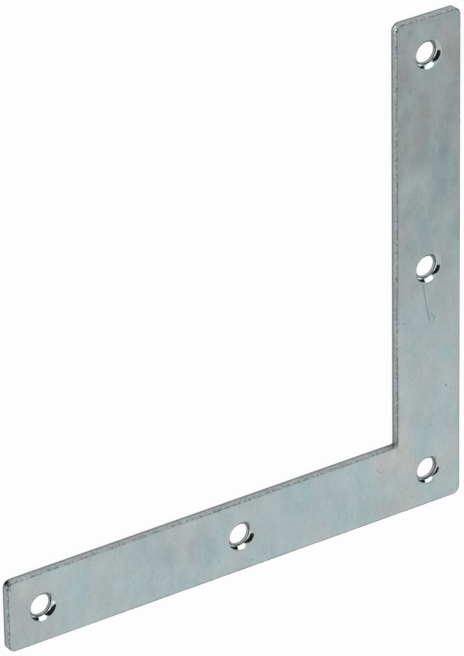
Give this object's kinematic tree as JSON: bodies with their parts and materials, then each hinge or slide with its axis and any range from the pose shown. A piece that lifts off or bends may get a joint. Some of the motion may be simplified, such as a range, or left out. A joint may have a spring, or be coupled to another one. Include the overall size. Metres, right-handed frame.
{
  "type": "flat corner brace",
  "caption": "Flat L-shaped corner brace stamped from zinc-plated sheet steel, with countersunk screw holes along both arms, for stiffening a right-angled joint.",
  "frame": {"origin": "on the corner hole's axis, in the plane of the back face that the plate lies on", "axes": "+Z out of the countersunk front face, along the holes; +X along one arm and +Y along the other, each away from the corner"},
  "size_m": [0.12, 0.12, 0.002],
  "materials": {
    "zinc_plated_steel": "bright zinc plate with a faint blue passivation, satin, softly mottled"
  },
  "bodies": {
    "root": {"corner_brace": "zinc_plated_steel"}
  },
  "joints": []
}
